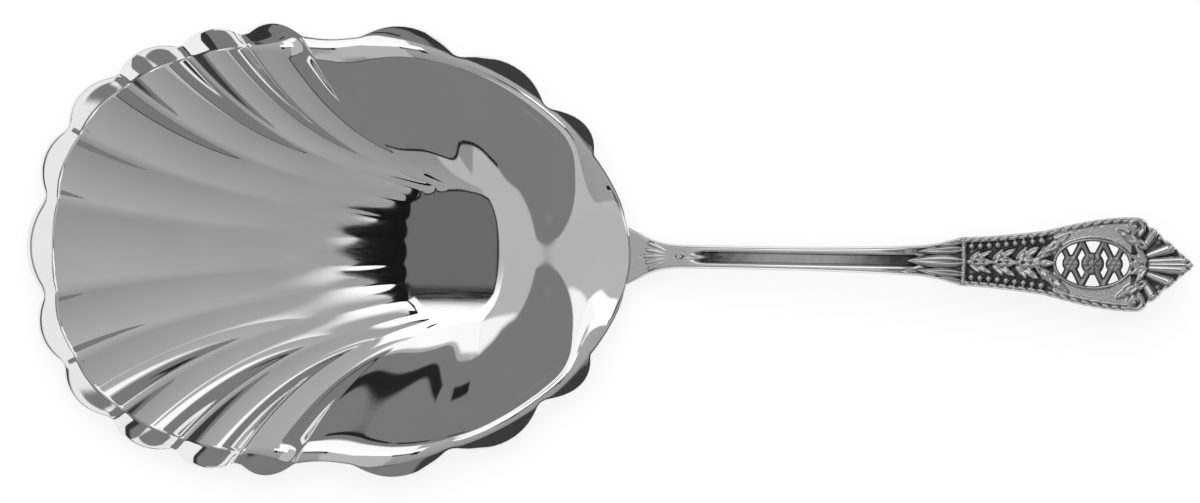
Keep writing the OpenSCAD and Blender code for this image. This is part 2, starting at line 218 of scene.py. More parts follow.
@dataclass(frozen=True)
class Finish(ABC):
    """A finish of silver: its two tones and two roughnesses, and the span of the pattern that goes between these."""

    name: str
    tones: tuple[str, str]
    gloss: Pair
    span: Pair = (0.0, 1.0)

    @abstractmethod
    def pattern(self, tree: Tree, place: Socket) -> Sockets:
        """Adds the nodes of the finish's own pattern.

        Args:
            tree: The material's nodes.
            place: The place on the piece.

        Returns:
            What goes between the tones, what goes between the roughnesses and, if there is one, the bump.
        """

    def material(self) -> bpy.types.Material:
        """Makes the node material.

        Returns:
            The new material.
        """
        made = bpy.data.materials.new(self.name)
        tree = cleared(made)
        place = add_node(tree, "ShaderNodeTexCoord").outputs["Object"]
        share, dull, *bump = self.pattern(tree, place)
        tones = [linear(tone) for tone in self.tones]
        tint = add_node(tree, "ShaderNodeMix", {0: share, 6: tones[0], 7: tones[1]}, data_type="RGBA")
        gloss = add_node(tree, "ShaderNodeMapRange", {
            "Value": dull, "From Min": self.span[0], "From Max": self.span[1],
            "To Min": self.gloss[0], "To Max": self.gloss[1]})
        shade = add_node(tree, "ShaderNodeBsdfPrincipled", {
            "Base Color": tint.outputs[2], "Metallic": 1.0, "Roughness": gloss.outputs[0],
            **{"Normal": socket for socket in bump}})
        add_node(tree, "ShaderNodeOutputMaterial", {"Surface": shade.outputs[0]})
        return made


@dataclass(frozen=True)
class PolishedSilver(Finish):
    """Polished sterling sheet: near-white metal that mirrors the studio, with hairlines of wear and soft smears."""

    name: str = "polished_sterling_silver"
    tones: tuple[str, str] = ("#F1F1F1", "#E4E4E4")
    gloss: Pair = (0.025, 0.05)
    span: Pair = (0.3, 0.7)
    smear_size: float = 14.0
    hairline: float = 0.25
    drawn_out: Triple = (60.0, 1000.0, 1000.0)

    def pattern(self, tree: Tree, place: Socket) -> Sockets:
        """Adds smears and hairlines.

        Args:
            tree: The material's nodes.
            place: The place on the piece.

        Returns:
            The smears, the hairlines and their bump.
        """
        # Smears of handling, some millimetres across, which only shade the mirror a little.
        smear = add_node(tree, "ShaderNodeTexNoise", {"Vector": place, "Scale": 1000 / self.smear_size, "Detail": 3.0})
        # Hairlines: fine noise drawn out along the spoon.
        drawn = add_node(tree, "ShaderNodeMapping", {"Vector": place, "Scale": self.drawn_out}).outputs[0]
        line = add_node(tree, "ShaderNodeTexNoise", {"Vector": drawn, "Scale": 1 / self.hairline, "Detail": 2.0})
        height = line.outputs["Fac"]
        bump = add_node(tree, "ShaderNodeBump", {"Height": height, "Strength": 0.006, "Distance": 0.00002})
        return smear.outputs["Fac"], height, bump.outputs[0]


@dataclass(frozen=True)
class StruckSilver(Finish):
    """Struck sterling: bright on the high places, dark with oxide in the recesses, stippled on the matted ground."""

    name: str = "struck_sterling_silver"
    tones: tuple[str, str] = ("#E9E9E9", "#424242")
    gloss: Pair = (0.06, 0.42)
    cloud_size: float = 1.2
    stipple: float = 0.28

    def pattern(self, tree: Tree, place: Socket) -> Sockets:
        """Adds oxide in the recesses and stipple on the matted ground.

        Args:
            tree: The material's nodes.
            place: The place on the piece.

        Returns:
            The oxide, what is dull, and the bump of the stipple.
        """
        recess, matted = [add_node(tree, "ShaderNodeAttribute", attribute_name=name).outputs["Fac"]
                          for name in ("recess", "matted")]
        # The oxide is uneven, as polishing leaves it.
        cloud = add_node(tree, "ShaderNodeTexNoise", {"Vector": place, "Scale": 1000 / self.cloud_size, "Detail": 3.0})
        uneven = add_node(tree, "ShaderNodeMapRange", {"Value": cloud.outputs["Fac"], "To Min": 0.85, "To Max": 1.15})
        oxide = add_node(tree, "ShaderNodeMath", {0: recess, 1: uneven.outputs[0]}, operation="MULTIPLY",
                         use_clamp=True).outputs[0]
        dull = add_node(tree, "ShaderNodeMath", {0: oxide, 1: matted}, operation="MAXIMUM")
        # Stipple of the matted ground, punched about a quarter of a millimetre apart.
        dots = add_node(tree, "ShaderNodeTexVoronoi", {"Vector": place, "Scale": 1000 / self.stipple})
        height = add_node(tree, "ShaderNodeMath", {0: dots.outputs["Distance"], 1: matted}, operation="MULTIPLY")
        bump = add_node(tree, "ShaderNodeBump", {"Height": height.outputs[0], "Strength": 0.5, "Distance": 0.00006})
        return oxide, dull.outputs[0], bump.outputs[0]


@dataclass(frozen=True)
class SatinSolder(Finish):
    """Silver solder, filed flush and polished over: a shade duller than the silver beside it."""

    name: str = "satin_silver_solder"
    tones: tuple[str, str] = ("#EEEEEE", "#E4E4E4")
    gloss: Pair = (0.04, 0.08)
    grain_size: float = 0.5

    def pattern(self, tree: Tree, place: Socket) -> Sockets:
        """Adds a fine grain."""
        grain = add_node(tree, "ShaderNodeTexNoise", {"Vector": place, "Scale": 1000 / self.grain_size, "Detail": 2.0})
        return grain.outputs["Fac"], grain.outputs["Fac"]


class SubAssembly(ABC):
    """A sub-assembly of the spoon: one piece that stands for a CAD node; it names one of the record's slots, which
    isn't given to the piece.
    """

    node: ClassVar[str]
    slot: ClassVar[Slot]

    @abstractmethod
    def build(self) -> Object:
        """Makes the mesh."""

    def dress(self, finish: Finish) -> None:
        """Builds the piece, gives it its finish, hangs it under the body and hides the CAD node that it stands for.

        Args:
            finish: The finish, whose material is made for the piece.
        """
        piece = self.build()
        piece.data.materials.append(finish.material())
        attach(piece, BODY)
        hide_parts(self.node)
        LOG.info("%s: %d points, %s", piece.name, len(piece.data.vertices), finish.name)


@dataclass
class Columns:
    """Columns of the bowl: angle from the front, place across the lobe, scallop, flute depth and side."""

    angle: Array
    across: Array
    scallop: Array
    depth: Array
    side: Array


@dataclass
class FlutedBowl(SubAssembly):
    """The shell bowl, struck and raised from one sheet; sizes in millimetres, angles in degrees from the front."""

    node: ClassVar[str] = "bowl"
    slot: ClassVar[Slot] = Slot.BOWL
    length: float = 112.0
    width: float = 85.6
    sheet: float = 1.0
    neck_reach: float = 32.6
    belly_offset: float = 23.4
    foot_length: float = 18.0
    foot_width: float = 25.0
    front_rise: float = 13.0
    waist_rise: float = 14.5
    side_rise: float = 15.5
    shoulder_rise: float = 12.0
    back_rise: float = 15.5
    # How the wall's rise bends: in front, at the last flutes, at the sides and at the back.
    bends: tuple[float, ...] = (1.6, 2.2, 1.5, 1.6)
    # Angles over which a size goes over into the next: where that starts, and how far it takes.
    waist_zone: Pair = (0.0, 85.0)
    shallow_zone: Pair = (25.0, 30.0)
    fan_zone: Pair = (45.0, 35.0)
    lip_zone: Pair = (60.0, 35.0)
    side_zone: Pair = (80.0, 35.0)
    shoulder_zone: Pair = (105.0, 35.0)
    bow_zone: Pair = (130.0, -60.0)
    neck_zone: Pair = (140.0, 25.0)
    back_zone: Pair = (150.0, 28.0)
    middle_flute_angle: float = 20.0
    flute_angle: float = 14.5
    side_flutes: int = 4
    flute_depth: float = 2.9
    flute_power: float = 2.2
    front_share: float = 0.6
    last_share: float = 0.5
    finger_swell: float = 0.7
    finger_end: float = 0.8
    ridge_start: float = 0.84
    fan_bow: float = 0.55
    middle_scallop: float = 3.0
    side_scallop: float = 2.1
    lip_scallops: Triple = (1.35, 1.55, 1.3)
    lip_angles: Triple = (26.0, 23.0, 14.0)
    # Each lip: the share of the way at which it starts to turn, the share over which it turns, and its fall.
    front_lip: Triple = (0.956, 0.010, 0.80)
    side_lip: Triple = (0.853, 0.21, 1.65)
    neck_lip: Triple = (0.20, 0.85, 0.86)
    neck_rise: Triple = (0.80, 0.12, 0.09)
    crease_bow: float = 0.008
    edge_curl: float = 0.18
    curl_zone: Pair = (0.973, 0.018)
    waist_depth: float = 1.6
    waist_angle: float = 14.0
    waist_spread: float = 0.75
    heel_width: float = 10.6
    front_fullness: float = 2.6
    back_fullness: float = 1.9
    foot_fullness: float = 3.2
    floor_dish: float = 0.25
    tongue_start: float = 0.74
    # Rows of the mesh up the wall and down its back: the share of the way that each stretch goes to, and its count.
    wall_rows: Stretches = ((0.2, 27), (0.8, 63), (0.91, 14), (0.965, 28), (0.991, 8))
    back_rows: Stretches = ((0.8, 18), (0.0, 24))
    floor_rows: tuple[float, float, int] = (0.06, 1.0, 9)
    rim_rows: int = 9
    # Columns of the mesh: half the middle flute; then a flute, the last lobe, the waist, the lips, the neck, the heel.
    middle_columns: int = 14
    lobe_columns: tuple[int, ...] = (26, 20, 12, 26, 24, 18, 10, 6)
    neck_count: int = 33
    normal_step: float = 0.017

    def __post_init__(self) -> None:
        """Works out the reaches and the edges of the lobes."""
        self.front_reach = self.length - self.neck_reach - self.belly_offset - self.middle_scallop
        self.back_reach = self.neck_reach + self.belly_offset
        self.half_breadth = self.width / 2 - self.side_scallop
        self.heel_edge = 180 - math.degrees(math.asin(self.heel_width / 2 / self.back_reach))
        half = self.middle_flute_angle / 2
        edges = [half + k * self.flute_angle for k in range(self.side_flutes + 1)]
        waist = (90 - self.waist_angle / 2, 90 + self.waist_angle / 2)
        lips = [waist[1] + sum(self.lip_angles[:k]) for k in range(4)]
        stand, cut = self.side_scallop, self.flute_depth * self.last_share
        flute, last, middle, *lip, neck, heel = self.lobe_columns
        self.lobes = [(a, b, stand, self.lobe_depth((a + b) / 2), flute) for a, b in zip(edges, edges[1:])]
        self.lobes += [(edges[-1], waist[0], stand, cut, last), (waist[0], waist[1], 0.0, 0.0, middle)]
        self.lobes += [(a, b, stand * k, 0.0, n) for a, b, k, n in zip(lips, lips[1:], self.lip_scallops, lip)]
        self.lobes += [(lips[-1], self.heel_edge, 0.0, 0.0, neck), (self.heel_edge, 180.0, 0.0, 0.0, heel)]

    def lobe_depth(self, middle: float) -> float:
        """Depth of the flute whose middle lies at an angle; those at the front are shallow."""
        return self.flute_depth * float(blend(self.front_share, 1.0, eased(middle, self.shallow_zone)))

    def hump(self, across: Array) -> Array:
        """Arch across a lobe, whose two ridges are a little rounded.

        Args:
            across: Places across the lobe, from 0 to 1.

        Returns:
            1 in the lobe's middle, 0 at its ridges.
        """
        v, k = np.abs(2 * across - 1), self.ridge_start
        tail = k * k + 2 * k * (v - k) - k / (1 - k) * (v - k) ** 2
        return (k - np.where(v < k, v * v, tail)) / k

    def half_columns(self) -> Columns:
        """Columns of one half, set closer together at the ridges.

        Returns:
            The columns from the front to the neck.
        """
        n = self.middle_columns
        share = (1 - np.cos(np.pi * (0.5 + 0.5 * np.arange(n) / n))) / 2
        rows = [np.stack([self.middle_flute_angle * (share - 0.5), share,
                          np.full(n, self.middle_scallop), np.full(n, self.lobe_depth(0.0))])]
        for start, end, stand, cut, count in self.lobes:
            u = (1 - np.cos(np.pi * np.arange(count) / count)) / 2
            rows.append(np.stack([blend(start, end, u), u, np.full(count, stand), np.full(count, cut)]))
        rows.append(np.array([[180.0], [0.0], [0.0], [0.0]]))
        a, u, stand, cut = np.concatenate(rows, axis=1)
        return Columns(a, u, stand, cut, np.ones_like(a))

    def columns(self) -> Columns:
        """Columns all round, mirrored about the spoon's long axis.

        Returns:
            The columns from the front round to the front.
        """
        h = self.half_columns()
        pairs = [(h.angle, 1), (h.across, 1), (h.scallop, 1), (h.depth, 1), (h.side, -1)]
        return Columns(*[np.concatenate([v, k * v[-2:0:-1]]) for v, k in pairs])

    def neck_columns(self, share: float = 1.0) -> Columns:
        """Columns under the heel.

        Args:
            share: Share of the heel's width that they take up.

        Returns:
            The columns from side to side.
        """
        turn = share * np.linspace(self.heel_edge - 180, 180 - self.heel_edge, self.neck_count)
        zero = np.zeros(self.neck_count)
        return Columns(180 - np.abs(turn), zero, zero, zero, np.where(turn < 0, 1.0, -1.0))

    def rim_radius(self, a: Array) -> Array:
        """Distance of the plain rim from the widest section's centre.

        Args:
            a: Angles of the columns.

        Returns:
            The distances.
        """
        n = np.where(a < 90, self.front_fullness, self.back_fullness)
        reach = np.where(a < 90, self.front_reach, self.back_reach)
        r = np.radians(a)
        curve = (np.abs(np.cos(r)) / reach) ** n + (np.abs(np.sin(r)) / self.half_breadth) ** n
        waist = np.exp(-((a - 90) / self.waist_angle / self.waist_spread) ** 2)
        return curve ** (-1 / n) - self.waist_depth * waist

    def plan(self, a: Array, stand: Array, t: Array) -> tuple[Array, Array, Array, Array]:
        """Place in plan of a column at a share of the way from the foot to the rim.

        Args:
            a: Angles of the columns.
            stand: How far the scallop stands out there.
            t: Shares of the way.

        Returns:
            The x and y, the distance from the foot's edge to the rim, and the share of it that the scallop goes to.
        """
        r, reach = np.radians(a), self.rim_radius(a)
        ex, ey = -self.belly_offset - reach * np.cos(r), reach * np.sin(r)
        fx, fy = self.foot_plan(a)
        k = self.fan_bow * eased(np.abs(a), self.bow_zone)
        out, run = stand * t ** 5, np.hypot(ex - fx, ey - fy)
        x, y = blend(fx, ex, t) - out * np.cos(r), blend(fy, ey, (1 - k) * t + k * t ** 3) + out * np.sin(r)
        return x, y, run, t + out / run

    def foot_plan(self, a: Array) -> tuple[Array, Array]:
        """Edge of the flat foot, a little squarer than an ellipse.

        Args:
            a: Angles of the columns.

        Returns:
            Its x and y.
        """
        r, n = np.radians(a), self.foot_fullness
        k = (np.abs(np.cos(r)) ** n + np.abs(np.sin(r)) ** n) ** (-1 / n)
        return -self.foot_length / 2 * np.cos(r) * k, self.foot_width / 2 * np.sin(r) * k

    def foot_gauge(self, a: Array) -> Array:
        """How far the foot's edge stands outside its ellipse, squared; 1 on the two axes."""
        x, y = self.foot_plan(a)
        return (2 * x / self.foot_length) ** 2 + (2 * y / self.foot_width) ** 2

    def wall_height(self, a: Array, t: Array, run: Array, hump: Array) -> Array:
        """Height of the plain wall, which rises from the foot and turns out at the rim.

        Args:
            a: Angles of the columns.
            t: Shares of the way from the foot to the rim.
            run: Distance from the foot's edge to the rim.
            hump: Arch across the lobe, which bows the crease of the front lip.

        Returns:
            Heights over the plane that the foot rests on.
        """
        fan, turn, side, end = [
            eased(a, zone) for zone in (self.fan_zone, self.lip_zone, self.side_zone, self.back_zone)]
        rise = blend(blend(self.front_rise, self.waist_rise, eased(a, self.waist_zone)), self.side_rise, side)
        rise = blend(blend(rise, self.shoulder_rise, eased(a, self.shoulder_zone)), self.back_rise, end)
        bend = self.bends[0]
        for following, share in zip(self.bends[1:], (fan, side, end)):
            bend = blend(bend, following, share)
        front = self.front_lip[:2] + (self.front_lip[2] + rise * bend / run,)
        lips = zip(front, self.side_lip, self.neck_lip)
        start, over, fall = [blend(blend(f, m, turn), b, end) for f, m, b in lips]
        early = self.crease_bow * (1 - hump) * (1 - turn)
        fall = fall * over * self.rolled((t - start + early) / over)
        start, over, lift = self.neck_rise
        lift = lift * eased(a, self.neck_zone) * over * self.rolled((t - start) / over)
        return self.sheet + rise * t ** bend - (fall - lift) * run

    @staticmethod
    def rolled(share: Array) -> Array:
        """Fall of a lip that turns over a share of 0 to 1 and runs on straight."""
        x = np.maximum(0, share)
        return np.where(x < 1, x ** 3 - x ** 4 / 2, x - 0.5)

    def flute_cut(self, depth: Array, hump: Array, t: Array) -> Array:
        """Depth of the flutes below their ridges, which start as rounded fingers near the floor."""
        swell = self.finger_swell * t * np.maximum(0, 1 - t / self.finger_end) ** 3
        return depth * hump * (t ** self.flute_power - swell)

    def inside(self, c: Columns, t: Array) -> Array:
        """Points of the bowl's inside.

        Args:
            c: The columns.
            t: Shares of the way from the foot to the rim, one for each row.

        Returns:
            Points by row and column.
        """
        t = np.atleast_1d(np.asarray(t, float))[:, None]
        a, hump = c.angle[None, :], self.hump(c.across)[None, :]
        stand = c.scallop[None, :] * hump
        x, y, run, far = self.plan(a, stand, t)
        full = self.foot_gauge(a)
        dish = self.floor_dish * (1 - t) ** 3 * (
            2 * full / np.hypot(*self.foot_plan(a)) * run * t + (full - 1) * (1 + 3 * t))
        start, over = self.curl_zone
        curl = self.edge_curl * run * over / 2 * np.maximum(0, (t - start) / over) ** 2
        z = self.wall_height(a, far, run, hump) - self.flute_cut(c.depth[None, :], hump, far) + dish - curl
        return np.stack([x, c.side[None, :] * y, z], axis=-1)

    def sheet_normal(self, c: Columns, t: Array) -> Array:
        """Directions through the sheet, taken on the plain wall without its flutes.

        Args:
            c: The columns.
            t: Shares of the way from the foot to the rim, one for each row.

        Returns:
            Directions of length 1 by row and column.
        """
        t = np.atleast_1d(np.asarray(t, float))[:, None]
        hump = self.hump(c.across)[None, :]
        stand = c.scallop[None, :] * hump

        def spot(angle: Array, share: Array) -> Array:
            """Points of the plain wall."""
            x, y, run, far = self.plan(angle, stand, share)
            return np.stack(np.broadcast_arrays(x, y, self.wall_height(angle, far, run, hump)), axis=-1)

        a, step = c.angle[None, :], self.normal_step
        along = spot(a, np.minimum(1, t + step)) - spot(a, np.maximum(0, t - step))
        n = np.cross(along, spot(a + 1, t) - spot(a - 1, t))
        n /= np.linalg.norm(n, axis=-1, keepdims=True)
        n *= np.where(n[..., 2:] < 0, -1.0, 1.0)
        n[..., 1] *= c.side[None, :]
        n[t[:, 0] == 0] = (0.0, 0.0, 1.0)
        return n

    def outside(self, c: Columns, t: Array) -> Array:
        """Points of the bowl's outside, one sheet thickness from the inside."""
        return self.inside(c, t) - self.sheet * self.sheet_normal(c, t)

    @staticmethod
    def shares(start: float, stretches: Stretches) -> Array:
        """Shares of the way from the foot to the rim, one for each row of the mesh.

        Args:
            start: The first share.
            stretches: The share that each stretch goes to, and its count of rows with the first and the last.

        Returns:
            The shares, with the start.
        """
        shares = [start]
        for stop, count in stretches:
            shares.extend(np.linspace(shares[-1], stop, count)[1:])
        return np.array(shares)

    def rings(self) -> Array:
        """Works out the bowl's skin.

        Returns:
            Its rings, from the middle of the floor over the rim to the middle of the foot.
        """
        c = self.columns()
        reach = self.shares(0.0, self.wall_rows)
        hub = np.linspace(*self.floor_rows)[:, None, None]
        floor = self.inside(c, 0.0) * [1, 1, 0]
        depth = self.floor_dish * (1 - hub ** 2 * self.foot_gauge(c.angle)[None, :, None])
        dished = hub * floor + [0, 0, 1] * (self.sheet - depth)
        wall = self.inside(c, reach[1:])
        back = self.outside(c, self.shares(reach[-1], self.back_rows))
        # The rim is rounded, apart from where the heel is soldered against it.
        square = smooth((c.angle - self.heel_edge + 4) / 3)[:, None]
        middle, through = (wall[-1] + back[0]) / 2, (wall[-1] - back[0]) / 2
        ahead = wall[-1] - wall[-3]
        ahead *= self.sheet / 2 / np.linalg.norm(ahead, axis=-1, keepdims=True)
        almost, last = self.inside(c, [0.9995, 1.0])
        edge = []
        for turn in np.radians(np.linspace(0, 180, self.rim_rows))[1:-1]:
            rounded = middle + math.cos(turn) * through + math.sin(turn) * ahead
            flat = blend(last, self.outside(c, 1.0)[0], smooth((turn / math.pi - 0.2) / 0.6)) if edge else almost
            edge.append(blend(rounded, flat, square))
        under = hub[::-1] * (self.outside(c, 0.0) * [1, 1, 0])
        return np.concatenate([dished, wall, np.array(edge), back, under[1:]])

    def build(self) -> Object:
        """Makes the bowl's mesh.

        Returns:
            The new piece.
        """
        rings = self.rings()
        poles = np.array([[0, 0, self.sheet - self.floor_dish], [0, 0, 0]])
        points = np.concatenate([rings.reshape(-1, 3), poles])
        return make_piece("shell_bowl", points, ring_faces(len(rings), rings.shape[1]))


def mark(piece: Object, name: str, values: Array) -> None:
    """Stores one number for each point of a mesh, for its material to read."""
    layer = piece.data.attributes.new(name, "FLOAT", "POINT")
    layer.data.foreach_set("value", np.asarray(values, np.float32))


def widened(values: Array, cells: int) -> Array:
    """Averages a grid over a square round every place.

    Args:
        values: The grid.
        cells: How many cells the square reaches each way.

    Returns:
        The averaged grid.
    """
    for axis in (0, 1):
        pad = [(cells + 1, cells) if k == axis else (0, 0) for k in (0, 1)]
        total = np.cumsum(np.pad(values, pad, mode="edge"), axis=axis)
        count = total.shape[axis]
        span = 2 * cells + 1
        values = (np.take(total, range(span, count), axis) - np.take(total, range(count - span), axis)) / span
    return values


@dataclass
class Relief:
    """Raised work over a grid of places on the handle, alike on both sides; heights in millimetres."""

    s: Array
    y: Array
    height: Array

    def lift(self, height: Array, where: Array) -> None:
        """Raises the ground to a height in the places that a motif covers."""
        self.height = np.where(where, np.maximum(self.height, height), self.height)

    def bead(self, s: float, y: float, radius: float, base: float, rise: float = 0.85) -> None:
        """Adds a pearl."""
        d = np.hypot(self.s - s, self.y - y) / radius
        self.lift(base + rise * radius * cap(d), d < 1)

    def rib(self, path: Path, radii: Pair, base: float, rise: float = 0.9) -> None:
        """Adds a half-round rib along a path.

        Args:
            path: Places on the handle.
            radii: Radius at the first and at the last place.
            base: Height of the ground under the rib.
            rise: Height of the rib as a share of its radius.
        """
        for k, ((s0, y0), (s1, y1)) in enumerate(zip(path, path[1:])):
            ds, dy = s1 - s0, y1 - y0
            along = clamp01(((self.s - s0) * ds + (self.y - y0) * dy) / (ds * ds + dy * dy))
            radius = blend(*radii, (k + along) / (len(path) - 1))
            d = np.hypot(self.s - s0 - along * ds, self.y - y0 - along * dy) / radius
            self.lift(base + rise * radius * cap(d), d < 1)

    def leaf(self, root: Pair, tip: Pair, width: float, base: float, rise: float,
             lobes: int = 0) -> None:
        """Adds a pointed leaf with a sunk vein.

        Args:
            root: Place of the leaf's root.
            tip: Place of the leaf's tip.
            width: Half of its width.
            base: Height of the ground under the leaf.
            rise: Height of the leaf above that ground.
            lobes: How many lobes each side has; 0 for a smooth edge.
        """
        ds, dy = tip[0] - root[0], tip[1] - root[1]
        length = math.hypot(ds, dy)
        along = ((self.s - root[0]) * ds + (self.y - root[1]) * dy) / length ** 2
        side = ((self.y - root[1]) * ds - (self.s - root[0]) * dy) / length
        held = clamp01(along)
        cut = 0.24 * (1 - (held * lobes) % 1) if lobes else 0.0
        outline = width * np.sin(math.pi * held ** 0.7) ** 0.7 * (1 - cut) + 0.02
        across = np.abs(side) / outline
        ribs = 0.11 * np.cos(2 * math.pi * (held * lobes - 0.6 * across)) if lobes else 0.0
        form = cap(across) * (0.78 + 0.22 * held + ribs) - 0.45 * np.exp(-(across / 0.2) ** 2) * (1 - held)
        self.lift(base + rise * form, (along > 0) & (along < 1) & (across < 1))

    def rosette(self, s: float, radius: float, petals: int, base: float, rise: float) -> None:
        """Adds a rosette on the middle line: a ring of petals round a pearl.

        Args:
            s: Place along the handle.
            radius: Radius over the petals' tips.
            petals: Number of petals.
            base: Height of the ground under the petals.
            rise: Height of the petals above that ground.
        """
        petal = np.abs(np.cos(petals / 2 * np.arctan2(self.y, self.s - s)))
        d = np.hypot(self.s - s, self.y) / radius
        q = d / (0.74 + 0.26 * petal)
        self.lift(base + rise * cap(2 * q - 1.1) * (0.3 + 0.7 * petal ** 0.7), q < 1)
        self.bead(s, 0.0, 0.34 * radius, base + 0.1)


@dataclass
class StruckHandle(SubAssembly):
    """The die-struck handle; distance s runs along it from the neck to the tip, sizes in millimetres."""

    node: ClassVar[str] = "handle"
    slot: ClassVar[Slot] = Slot.HANDLE
    bowl: FlutedBowl
    heel_length: float = 10.0
    stem_width: float = 4.3
    stem_thickness: float = 2.7
    stem_length: float = 42.0
    shoulder_width: float = 9.2
    shoulder_length: float = 9.0
    panel_width: float = 11.8
    panel_length: float = 15.0
    end_width: float = 17.4
    end_length: float = 17.0
    tip_length: float = 11.0
    end_thickness: float = 2.0
    start_slope: float = 0.24
    end_slope: float = -0.12
    channel_width: float = 1.7
    channel_depth: float = 0.6
    ground_depth: float = 0.45
    border_width: float = 1.1
    window_length: float = 13.4
    window_width: float = 8.2
    bar_width: float = 1.2
    middle_boss: float = 2.1
    side_boss: float = 1.6
    trellis_pitch: float = 4.0
    pearl_radius: float = 0.6
    solder_film: float = 0.15
    crest: float = 0.14
    satin: float = 0.5
    soften: float = 0.06
    flare_swell: float = 0.62
    window_gap: float = 2.2
    # The blunt end of the tip: how much is left off, its radius, and by how much and over what length it thins.
    tip_cut: float = 0.45
    tip_round: float = 0.6
    tip_thinning: Pair = (0.9, 3.0)
    # Share of the thickness that lies over the edge, and the share below it, which is rounded.
    over_share: float = 0.4
    under_share: float = 0.66
    # Oxide that is left on high places along the handle.
    oxide_film: tuple[Pair, ...] = (
        (0, 0.25), (10, 0.25), (14, 0), (46, 0), (53, 0.32), (61, 0.32), (62, 0.25), (76, 0.25), (78, 0.3), (92, 0.3),
        (95, 0.1), (104, 0.1))
    sharp_angle: float = 62.0
    # The mesh: rows along the heel, the stem and the ornate end, columns, how these crowd outward, rows of the tongue.
    row_counts: tuple[int, int, int] = (60, 48, 330)
    column_count: int = 105
    column_crowd: float = 0.35
    tongue_rows: int = 20

    def __post_init__(self) -> None:
        """Works out the stations along the handle and the edge of the bowl that it meets."""
        self.s_stem = self.heel_length
        self.s_flare = self.s_stem + self.stem_length
        self.s_shoulder = self.s_flare + self.shoulder_length
        self.s_panel = self.s_shoulder + self.panel_length
        self.s_end = self.s_panel + self.end_length
        self.s_tip = self.s_end + self.tip_length
        self.s_last = self.s_tip - self.tip_cut
        self.window_s = self.s_panel + self.window_gap + self.window_length / 2
        self.neck = self.bowl.neck_columns()
        self.edge = self.bowl.inside(self.neck, 1.0)[0]
        middle = self.edge[len(self.edge) // 2]
        self.start_x, self.start_z = middle[0] + self.solder_film, middle[2]
        self.tongue_turns = np.linspace(0.12, math.pi / 2, self.tongue_rows)

    def top_height(self, s: Array) -> Array:
        """Height of the plain top, which arches along the handle."""
        bend = (self.end_slope - self.start_slope) / (2 * self.s_tip)
        return self.start_z + s * self.start_slope + bend * s * s

    def half_width(self, s: Array) -> Array:
        """Half of the handle's width.

        Args:
            s: Distances along the handle.

        Returns:
            The half-widths there.
        """
        stem, heel = self.stem_width / 2, self.bowl.heel_width / 2
        waist, shoulder = stem + self.flare_swell, self.shoulder_width / 2
        panel, end = self.panel_width / 2, self.end_width / 2
        shares = [1 - s / self.heel_length, ((s - self.s_stem) / self.stem_length - 0.35) / 0.65,
                  (s - self.s_flare) / self.shoulder_length, (s - self.s_shoulder) / self.panel_length,
                  (s - self.s_panel) / self.end_length, (s - self.s_end) / self.tip_length]
        to_stem, to_flare, to_shoulder, to_panel, to_end, v = [clamp01(k) for k in shares]
        steps = 0.8 * (1 - (v - 0.2) / 0.8) + 0.11 * np.abs(np.sin(3 * math.pi * (v - 0.2) / 0.8)) * (1 - v)
        tip = np.select([v < 0.16, v < 0.2], [1 - 0.6 * v * v / 0.16, blend(0.904, 0.8, (v - 0.16) / 0.04)],
                        np.maximum(0.03, steps))
        forms = [blend(stem, heel, to_stem ** 2.4), stem + self.flare_swell * to_flare ** 2,
                 blend(waist, shoulder, to_shoulder ** 1.7), blend(shoulder - 0.1, panel, to_panel ** 1.5),
                 blend(panel, end, np.sin(math.pi / 2 * to_end))]
        ends = [self.s_stem, self.s_flare, self.s_shoulder, self.s_panel, self.s_end]
        blunt = np.maximum(0.03, cap(np.maximum(0, s - self.s_last + self.tip_round) / self.tip_round))
        return np.select([s < e for e in ends], forms, end * tip * blunt)

    def thickness(self, s: Array) -> Array:
        """Thickness of the handle.

        Args:
            s: Distances along the handle.

        Returns:
            The thicknesses there.
        """
        front = self.stem_thickness * blend(1.05, 1.0, clamp01(s / self.heel_length))
        back = blend(self.stem_thickness, self.end_thickness, smooth((s - self.s_flare) / (self.shoulder_length * 2)))
        thinning, length = self.tip_thinning
        back = back - thinning * smooth((s - self.s_last + length) / length)
        return np.where(s < self.s_flare, front, back)

    def drop(self, s: Array) -> Array:
        """How far the edge lies below the crest of the top."""
        return self.crest + self.over_share * self.thickness(s)

    def depth(self, s: Array, roundness: Array) -> Array:
        """How far the rounded underside lies below the plain top."""
        return self.thickness(s) * (self.over_share + self.under_share * roundness)

    @staticmethod
    def roundness(share: Array) -> Array:
        """How full the underside is at a share of the half-width from the middle."""
        return np.sqrt(1 - clamp01(share) ** 2.2)

    def sunk(self, s: Array) -> tuple[Array, Array]:
        """Channel along the stem and sunk ground of the ornate end.

        Args:
            s: Distances along the handle.

        Returns:
            Their half-width and their depth there.
        """
        start, point = smooth((s - self.s_stem - 1) / 2), clamp01((self.s_flare + 3 - s) / 3)
        half = self.half_width(s)
        zones = [s < self.s_flare, s < self.s_shoulder, s < self.s_end - 1]
        wide = np.select(zones, [self.channel_width / 2 * start, self.channel_width / 2 * point,
                                 half - self.border_width], half * 0.6)
        deep = np.select(zones, [self.channel_depth * start, self.channel_depth * point,
                                 self.ground_depth * smooth((s - self.s_shoulder) / 1.2)],
                         self.ground_depth * clamp01((self.s_end + 1 - s) / 2))
        return wide, deep

